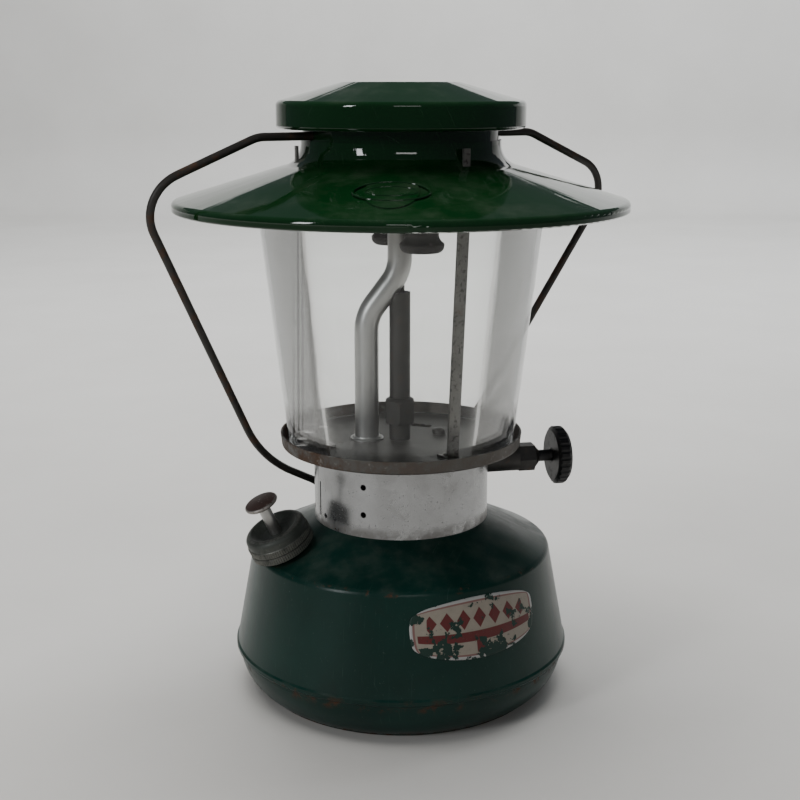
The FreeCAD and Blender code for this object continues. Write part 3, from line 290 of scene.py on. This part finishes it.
def rusty_plate():
    finish = Finish("rusty_steel")
    radius, azimuth, height = finish.polar()
    x, y, z = finish.split()
    grain = finish.noise(1.5, 6.0, 0.7)
    cloud = finish.noise(12.0, 7.0, 0.7)
    rim = radius.step(0.0560, 0.0590)
    left = x.step(0.030, -0.050)
    rust = (rim * (0.35 + left * 0.65) * cloud.step(0.38, 0.58)).most(cloud.step(0.60, 0.72) * 0.7)
    worn = rim * finish.noise(4.0, 6.0, 0.66).step(0.58, 0.68)
    colour = finish.blend(cloud, (0.062, 0.060, 0.056), (0.155, 0.150, 0.140))
    browns = finish.blend(grain, (0.022, 0.013, 0.008), (0.105, 0.058, 0.033))
    colour = finish.blend(rust, colour, browns)
    colour = finish.blend(worn * 0.45, colour, (0.30, 0.285, 0.26))
    return finish.surface(
        Base_Color=colour,
        Metallic=0.75 - rust * 0.7,
        Roughness=0.42 + rust * 0.38 + grain * 0.1,
        Normal=finish.bump(grain + rust * 1.2, 0.10))


def spotted_zinc():
    finish = Finish("galvanised")
    spots = finish.noise(1.7, 4.0, 0.65).step(0.54, 0.63)
    cloud = finish.noise(9.0, 6.0, 0.68)
    rust = finish.noise(14.0, 7.0, 0.75).step(0.62, 0.72)
    colour = finish.blend(cloud, (0.10, 0.098, 0.092), (0.22, 0.215, 0.20))
    colour = finish.blend(spots * 0.75, colour, (0.055, 0.052, 0.048))
    colour = finish.blend(rust * 0.8, colour, (0.11, 0.055, 0.025))
    return finish.surface(
        Base_Color=colour,
        Metallic=0.8 - rust * 0.6,
        Roughness=0.36 + spots * 0.22 + rust * 0.3,
        Normal=finish.bump(spots * -0.6 + cloud * 0.4, 0.05))


def satin_tube():
    finish = Finish("silver_tube")
    x, y, z = finish.split()
    along = finish.noise(1.0, 3.0, 0.6, None, (1.4, 1.4, 0.12))
    cloud = finish.noise(14.0, 6.0, 0.65)
    heat = z.step(0.205, 0.245) * (0.4 + cloud * 0.5)
    specks = finish.noise(1.4, 4.0, 0.6).step(0.66, 0.72)
    colour = finish.blend(cloud, (0.40, 0.40, 0.395), (0.58, 0.58, 0.57))
    colour = finish.blend(heat * 0.7, colour, (0.17, 0.14, 0.12))
    colour = finish.blend(specks * 0.4, colour, (0.15, 0.14, 0.13))
    return finish.surface(
        Base_Color=colour,
        Metallic=0.92 - specks * 0.3,
        Roughness=0.33 + cloud * 0.14 + heat * 0.12,
        Normal=finish.bump(along * 0.6 + cloud * 0.4, 0.035))


def dull_steel():
    finish = Finish("dark_steel")
    grain = finish.noise(1.2, 6.0, 0.7)
    cloud = finish.noise(8.0, 7.0, 0.7)
    rust = finish.noise(6.0, 7.0, 0.72).step(0.56, 0.68)
    colour = finish.blend(cloud, (0.030, 0.029, 0.028), (0.085, 0.082, 0.078))
    colour = finish.blend(rust * 0.5, colour, (0.090, 0.050, 0.028))
    return finish.surface(
        Base_Color=colour,
        Metallic=0.7 - rust * 0.5,
        Roughness=0.42 + rust * 0.25 + grain * 0.12,
        Normal=finish.bump(grain, 0.05))


def sooty_cast():
    finish = Finish("cast_burner")
    grain = finish.noise(0.9, 5.0, 0.7)
    cloud = finish.noise(6.0, 6.0, 0.7)
    ash = finish.noise(4.0, 7.0, 0.7).step(0.60, 0.72)
    colour = finish.blend(cloud, (0.016, 0.015, 0.014), (0.050, 0.047, 0.044))
    colour = finish.blend(ash * 0.5, colour, (0.16, 0.15, 0.14))
    return finish.surface(
        Base_Color=colour, Metallic=0.35 - ash * 0.3, Roughness=0.58 + grain * 0.2,
        Normal=finish.bump(grain + cloud, 0.12))


def worn_brass():
    finish = Finish("brass_fittings")
    cloud = finish.noise(7.0, 6.0, 0.7)
    grain = finish.noise(0.9, 4.0, 0.6)
    tarnish = cloud.step(0.42, 0.66)
    colour = finish.blend(tarnish, (0.50, 0.33, 0.12), (0.17, 0.105, 0.045))
    return finish.surface(
        Base_Color=colour, Metallic=0.95 - tarnish * 0.25,
        Roughness=0.30 + tarnish * 0.3 + grain * 0.08,
        Normal=finish.bump(grain + cloud * 0.5, 0.03))


def bright_steel():
    finish = Finish("bright_steel")
    cloud = finish.noise(5.0, 6.0, 0.7)
    turned = finish.noise(1.0, 2.0, 0.6, None, (0.4, 0.4, 2.5))
    stain = cloud.step(0.55, 0.72)
    colour = finish.blend(stain * 0.7, (0.46, 0.455, 0.44), (0.15, 0.12, 0.09))
    return finish.surface(
        Base_Color=colour, Metallic=0.95 - stain * 0.4, Roughness=0.28 + stain * 0.3 + turned * 0.08,
        Normal=finish.bump(turned + stain * 0.5, 0.03))


# --- filler cap, knobs and soft parts ---------------------------------------

filler_low, filler_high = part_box("filler_neck")
knob_low, knob_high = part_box("pump_knob")
knob_middle = (knob_low + knob_high) / 2
filler_way = (knob_middle - (filler_low + filler_high) / 2).normalized()


def from_axis(finish, point, way):
    """(distance from an axis, distance along it) in metres."""
    gap = finish.vector("SUBTRACT", finish.spot, tuple(point))
    along = finish.vector("DOT_PRODUCT", gap, tuple(way), "Value")
    across = finish.vector("CROSS_PRODUCT", gap, tuple(way))
    return finish.node("VectorMath", {"operation": "LENGTH"}, {0: across}, "Value"), along


def knurled_cap():
    finish = Finish("cap_metal")
    out, along = from_axis(finish, knob_middle, filler_way)
    grain = finish.noise(1.0, 5.0, 0.65)
    cloud = finish.noise(6.0, 7.0, 0.7)
    crowns = out.step(0.0157, 0.0163)
    worn = (crowns * cloud.step(0.30, 0.55)).most(finish.noise(2.2, 6.0, 0.7).step(0.62, 0.7) * 0.6)
    ring = (out - 0.0135).size().step(0.0012, 0.0003) * cloud.step(0.35, 0.55)
    worn = worn.most(ring * 0.8)
    grease = out.step(0.0155, 0.0150) * grain.step(0.4, 0.7)
    colour = finish.blend(cloud, (0.026, 0.031, 0.027), (0.062, 0.068, 0.060))
    colour = finish.blend(worn * 0.75, colour, (0.20, 0.20, 0.18))
    colour = finish.blend(grease * 0.4, colour, (0.020, 0.016, 0.011))
    return finish.surface(
        Base_Color=colour, Metallic=0.45 + worn * 0.4, Roughness=0.40 + cloud * 0.2 - worn * 0.08,
        Normal=finish.bump(grain + cloud, 0.05))


def worn_knob():
    finish = Finish("knob_plastic")
    out, along = from_axis(finish, knob_middle, filler_way)
    cloud = finish.noise(4.0, 7.0, 0.7)
    rings = finish.noise(1.0, 2.0, 0.5, finish.join(out * 1.6, out * 0.8, 0.0))
    edge = out.step(0.0074, 0.0083) * cloud.step(0.32, 0.52)
    spots = finish.noise(2.0, 6.0, 0.7).step(0.60, 0.68)
    worn = edge.most(spots * 0.8)
    colour = finish.blend(cloud, (0.028, 0.015, 0.012), (0.060, 0.034, 0.028))
    colour = finish.blend(worn * 0.85, colour, (0.34, 0.32, 0.30))
    return finish.surface(
        Base_Color=colour, Metallic=0.3 + worn * 0.6, Roughness=0.36 + cloud * 0.14,
        Normal=finish.bump(cloud + rings * 0.6, 0.05))


def moulded_black():
    finish = Finish("knob_black")
    grain = finish.noise(0.7, 4.0, 0.6)
    dust = finish.noise(3.5, 7.0, 0.7).step(0.52, 0.72)
    colour = finish.blend(dust * 0.3, (0.0030, 0.0030, 0.0032), (0.024, 0.022, 0.019))
    return finish.surface(
        Base_Color=colour, Roughness=0.42 + dust * 0.3 + grain * 0.08, Normal=finish.bump(grain, 0.03))


def soft_black():
    finish = Finish("dark_rubber")
    grain = finish.noise(0.8, 5.0, 0.65)
    cloud = finish.noise(4.0, 6.0, 0.7)
    return finish.surface(
        Base_Color=finish.blend(cloud, (0.012, 0.012, 0.012), (0.040, 0.038, 0.035)),
        Roughness=0.72 + grain * 0.16, Normal=finish.bump(grain, 0.05))


def oiled_leather():
    finish = Finish("leather_cup")
    pores = finish.cells(0.7)
    cloud = finish.noise(4.0, 6.0, 0.7)
    return finish.surface(
        Base_Color=finish.blend(cloud, (0.055, 0.026, 0.012), (0.14, 0.070, 0.032)),
        Roughness=0.45 + cloud * 0.25, Normal=finish.bump(pores, 0.08))


def clear_glass():
    finish = Finish("clear_glass")
    tree = finish.tree
    radius, azimuth, height = finish.polar()
    waves = finish.bump(finish.noise(26.0, 2.0, 0.4), 0.10)
    smear = finish.noise(20.0, 6.0, 0.7).step(0.56, 0.8) * 0.012
    film = height.step(0.146, 0.128) * finish.noise(6.0, 6.0, 0.7).step(0.40, 0.7) * 0.07
    gloss = finish.node("Fresnel", {}, {"IOR": 1.38, "Normal": waves}) * 0.8
    clear = finish.node("BsdfTransparent", {}, {"Color": (0.992, 0.996, 0.992, 1.0)})
    shine = finish.node(
        "BsdfGlossy", {}, {"Color": (1.0, 1.0, 1.0, 1.0), "Roughness": 0.03, "Normal": waves})
    haze = finish.node("BsdfDiffuse", {}, {"Color": (0.70, 0.69, 0.66, 1.0)})
    body = finish.node("MixShader", {}, {0: gloss, 1: clear, 2: shine})
    whole = finish.node("MixShader", {}, {0: smear + film, 1: body, 2: haze})
    tree.links.new(whole.socket, tree.nodes["Material Output"].inputs["Surface"])
    tree.nodes.remove(finish.shader)
    return finish


def printed_label():
    """Cream badge with a pale frame, a row of lozenges over a band, and chips down to the paint."""
    finish = Finish("label_print", Coat_Roughness=0.2, IOR=1.45)
    across, up = finish.split(finish.node("TexCoord", output="UV"))[:2]
    side = (across - 0.5).size() * 2.0
    rise = (up - 0.5).size() * 2.0
    frame_line = side.step(0.955, 0.965).most(rise.step(0.885, 0.905))
    inner_line = side.step(0.925, 0.932).most(rise.step(0.825, 0.840)) - frame_line
    inside = side.step(0.905, 0.895)
    band = up.step(0.285, 0.295) * up.step(0.455, 0.445) * inside
    stem = (across - 0.5).size().step(0.040, 0.034) * up.step(0.30, 0.29) * up.step(0.10, 0.11)
    column = finish.node("Math", {"operation": "PINGPONG"}, {0: across - 0.5, 1: 0.0605})
    leg = (up - 0.66).size() * 0.30
    lozenge = (column + leg).step(0.0520, 0.0480) * side.step(0.77, 0.76)
    tone = finish.noise(5.0, 6.0, 0.7)
    cream = finish.blend(tone, (0.20, 0.175, 0.140), (0.31, 0.275, 0.225))
    red = finish.blend(tone, (0.070, 0.006, 0.007), (0.125, 0.012, 0.011))
    colour = finish.blend(band.most(stem).most(lozenge), cream, red)
    colour = finish.blend(inner_line * 0.8, colour, (0.16, 0.05, 0.05))
    colour = finish.blend(frame_line, colour, (0.36, 0.36, 0.35))
    blotch = finish.noise(9.0, 6.0, 0.60)
    lower = up.step(0.42, 0.12) * 0.085
    upper_left = across.step(0.48, 0.10) * up.step(0.40, 0.75) * 0.075
    chips = (blotch + lower + upper_left).step(0.590, 0.595)
    under = finish.blend(finish.noise(9.0, 6.0), (0.0012, 0.0180, 0.0120), (0.0022, 0.0270, 0.0180))
    specks = finish.noise(1.2, 4.0, 0.6).step(0.6, 0.72) * 0.35
    colour = finish.blend(specks, colour, (0.10, 0.08, 0.06))
    colour = finish.blend(chips, colour, under)
    return finish.surface(
        Base_Color=colour, Roughness=0.42 + tone * 0.18,
        Metallic=frame_line * (1.0 - chips) * 0.3,
        Coat_Weight=0.15 - chips * 0.1, Normal=finish.bump(1.0 - chips, 0.14))


# --- meshes -----------------------------------------------------------------

def new_piece(name, mesh, finish, body):
    piece = bpy.data.objects.new(name, mesh)
    bpy.context.scene.collection.objects.link(piece)
    mesh.materials.append(finish.material)
    for face in mesh.polygons:
        face.use_smooth = True
    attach(piece, body)
    return piece


def curved_badge(name, finish, azimuth, middle, half_width, half_height, swell, radius_at):
    """Thin sheet wrapped on the tank's side, with bowed edges and soft corners."""
    across, up = 64, 32
    mesh = bpy.data.meshes.new(name)
    shape = bmesh.new()
    layer = shape.loops.layers.uv.new("badge")
    spots = {}
    for j in range(up + 1):
        v = 2 * j / up - 1
        for i in range(across + 1):
            u = 2 * i / across - 1
            reach = u * (1 - 0.075 * v ** 8) * (half_width - 0.0012 * v * v)
            height = middle + v * (1 - 0.10 * u ** 12) * (half_height + swell * (1 - u * u))
            r = radius_at(height) + 0.00012
            angle = math.radians(azimuth) + reach / r
            spots[i, j] = shape.verts.new((r * math.cos(angle), r * math.sin(angle), height))
    for j in range(up):
        for i in range(across):
            corners = ((i, j), (i + 1, j), (i + 1, j + 1), (i, j + 1))
            face = shape.faces.new([spots[corner] for corner in corners])
            for loop, (a, b) in zip(face.loops, corners):
                loop[layer].uv = (a / across, b / up)
    shape.to_mesh(mesh)
    shape.free()
    badge = new_piece(name, mesh, finish, "lantern")
    thick = badge.modifiers.new("thickness", "SOLIDIFY")
    thick.thickness = 0.00018
    thick.offset = 1.0
    return badge


def oval_bead(name, finish, azimuth, circle, half_length, half_width, thick, height_at):
    """Thin bead laid on the shade along an ellipse."""
    turns, sides = 120, 8
    turn = math.radians(azimuth)
    outward = Vector((math.cos(turn), math.sin(turn), 0.0))
    sideways = Vector((-math.sin(turn), math.cos(turn), 0.0))

    def spot(step):
        angle = 2.0 * math.pi * step / turns
        place = outward * (circle + half_width * math.sin(angle))
        place = place + sideways * (half_length * math.cos(angle))
        place.z = height_at(place.length)
        return place

    shape = bmesh.new()
    rings = []
    for step in range(turns):
        along = (spot(step + 1) - spot(step - 1)).normalized()
        across = along.cross(Vector((0.0, 0.0, 1.0))).normalized()
        above = across.cross(along)
        ring = []
        for side in range(sides):
            angle = 2.0 * math.pi * side / sides
            reach = across * (thick * math.cos(angle)) + above * (thick * math.sin(angle))
            ring.append(shape.verts.new(spot(step) + reach))
        rings.append(ring)
    for step, ring in enumerate(rings):
        following = rings[(step + 1) % turns]
        for side in range(sides):
            other = (side + 1) % sides
            shape.faces.new((ring[side], ring[other], following[other], following[side]))
    bmesh.ops.recalc_face_normals(shape, faces=shape.faces)
    mesh = bpy.data.meshes.new(name)
    shape.to_mesh(mesh)
    shape.free()
    return new_piece(name, mesh, finish, "hood")


# --- finishes on the lantern's pieces ---------------------------------------

FINISH_OF_SLOT = {
    "hood_enamel": glossy_enamel(),
    "tank_paint": tank_enamel(),
    "bail_wire": wire_black(),
    "collar_metal": mottled_collar(),
    "rusty_steel": rusty_plate(),
    "galvanised": spotted_zinc(),
    "silver_tube": satin_tube(),
    "dark_steel": dull_steel(),
    "cast_burner": sooty_cast(),
    "brass_fittings": worn_brass(),
    "bright_steel": bright_steel(),
    "cap_metal": knurled_cap(),
    "knob_plastic": worn_knob(),
    "knob_black": moulded_black(),
    "dark_rubber": soft_black(),
    "leather_cup": oiled_leather(),
    "clear_glass": clear_glass(),
}

slot_of_node = {entry["node"]: entry["material_slot"] for entry in frame["record"]["subparts"]}
for name, piece in nodes.items():
    finish = FINISH_OF_SLOT[slot_of_node[name]]
    if not piece.data.materials:
        piece.data.materials.append(finish.material)
    for index in range(len(piece.material_slots)):
        piece.material_slots[index].link = "OBJECT"
        piece.material_slots[index].material = finish.material


# --- label on the tank ------------------------------------------------------

SIDE_LOW = (0.0852, 0.0248)
SIDE_HIGH = (0.0760, 0.0741)


def tank_side(height):
    share = (height - SIDE_LOW[1]) / (SIDE_HIGH[1] - SIDE_LOW[1])
    return SIDE_LOW[0] + (SIDE_HIGH[0] - SIDE_LOW[0]) * share


curved_badge("tank_label", printed_label(), 298.0, 0.0554, 0.0350, 0.0100, 0.0045, tank_side)


# --- oval moulding on the shade ---------------------------------------------

CONE_FOOT = (0.1110, 0.2495)
CONE_CREASE = (0.0575, 0.2656)
OVAL_RELIEF = 0.0006


def oval_top(radius):
    share = (CONE_FOOT[0] - radius) / (CONE_FOOT[0] - CONE_CREASE[0])
    return CONE_FOOT[1] + (CONE_CREASE[1] - CONE_FOOT[1]) * share + OVAL_RELIEF


oval_enamel = glossy_enamel()
oval_bead("shade_oval_rim", oval_enamel, 267.0, 0.0800, 0.0166, 0.0104, 0.00055, oval_top)
oval_bead("shade_oval_inner_rim", oval_enamel, 267.0, 0.0800, 0.0112, 0.0052, 0.00040, oval_top)


# --- floor, light and camera ------------------------------------------------

def pale_floor():
    finish = Finish("pale_floor")
    cloud = finish.noise(180.0, 5.0, 0.6)
    grain = finish.noise(9.0, 5.0, 0.6)
    return finish.surface(
        Base_Color=finish.blend(cloud, (0.50, 0.485, 0.46), (0.60, 0.585, 0.56)),
        Roughness=0.55 + grain * 0.15, Normal=finish.bump(grain, 0.12))


def sweep_floor():
    """Floor that curves up into a plain wall well behind the lantern."""
    mesh = bpy.data.meshes.new("floor")
    shape = bmesh.new()
    front, back, bend, wall_height, half_width = -2.5, 2.45, 0.2, 1.25, 3.5
    profile = [(front, 0.0), (back, 0.0)]
    for step in range(1, 7):
        angle = math.radians(15.0 * step)
        profile.append((back + bend * math.sin(angle), bend - bend * math.cos(angle)))
    profile.append((back + bend, wall_height))
    rows = [[shape.verts.new((x, y, z)) for x in (-half_width, half_width)] for y, z in profile]
    for near, far in zip(rows, rows[1:]):
        shape.faces.new((near[0], near[1], far[1], far[0]))
    shape.to_mesh(mesh)
    shape.free()
    floor = bpy.data.objects.new("floor", mesh)
    bpy.context.scene.collection.objects.link(floor)
    mesh.materials.append(pale_floor().material)
    for face in mesh.polygons:
        face.use_smooth = True


def soft_light(name, place, aim, size, power, colour=(1.0, 1.0, 1.0), seen=True):
    """Area light; one that isn't seen lights surfaces without showing in their gloss."""
    lamp = bpy.data.lights.new(name, "AREA")
    lamp.shape = "RECTANGLE"
    lamp.size, lamp.size_y = size
    lamp.energy = power
    lamp.color = colour
    holder = bpy.data.objects.new(name, lamp)
    holder.location = place
    holder.rotation_euler = (Vector(aim) - Vector(place)).to_track_quat("-Z", "Y").to_euler()
    holder.visible_glossy = seen
    bpy.context.scene.collection.objects.link(holder)


sweep_floor()
soft_light("window", (-1.50, -1.35, 0.95), (0.0, 0.0, 0.15), (0.30, 0.85), 14.0, (0.96, 0.98, 1.0))
soft_light("high_window", (0.25, -2.60, 1.30), (0.0, 0.0, 0.20), (1.10, 0.35), 7.0, (1.0, 0.99, 0.97))
soft_light("overhead", (-0.2, 0.4, 2.4), (0.15, 0.2, 0.0), (2.6, 2.2), 82.0, (1.0, 0.995, 0.98), False)
soft_light("wall_wash", (0.7, 1.0, 1.9), (0.5, 2.65, 0.5), (2.6, 0.8), 72.0, (0.90, 0.95, 1.0), False)

world = bpy.data.worlds.new("studio")
world.use_nodes = True
world.node_tree.nodes["Background"].inputs["Color"].default_value = (0.80, 0.88, 1.0, 1.0)
world.node_tree.nodes["Background"].inputs["Strength"].default_value = 0.09
bpy.context.scene.world = world

FOCAL_LENGTH_MM = 59.27
CAMERA_PLACE = (-0.0005, -0.649, 0.304)
CAMERA_TILT = math.radians(76.51)

lens = bpy.data.cameras.new("camera")
lens.sensor_width = 36.0
lens.lens = FOCAL_LENGTH_MM
camera = bpy.data.objects.new("camera", lens)
camera.location = CAMERA_PLACE
camera.rotation_euler = (CAMERA_TILT, 0.0, 0.0)
bpy.context.scene.collection.objects.link(camera)
bpy.context.scene.camera = camera
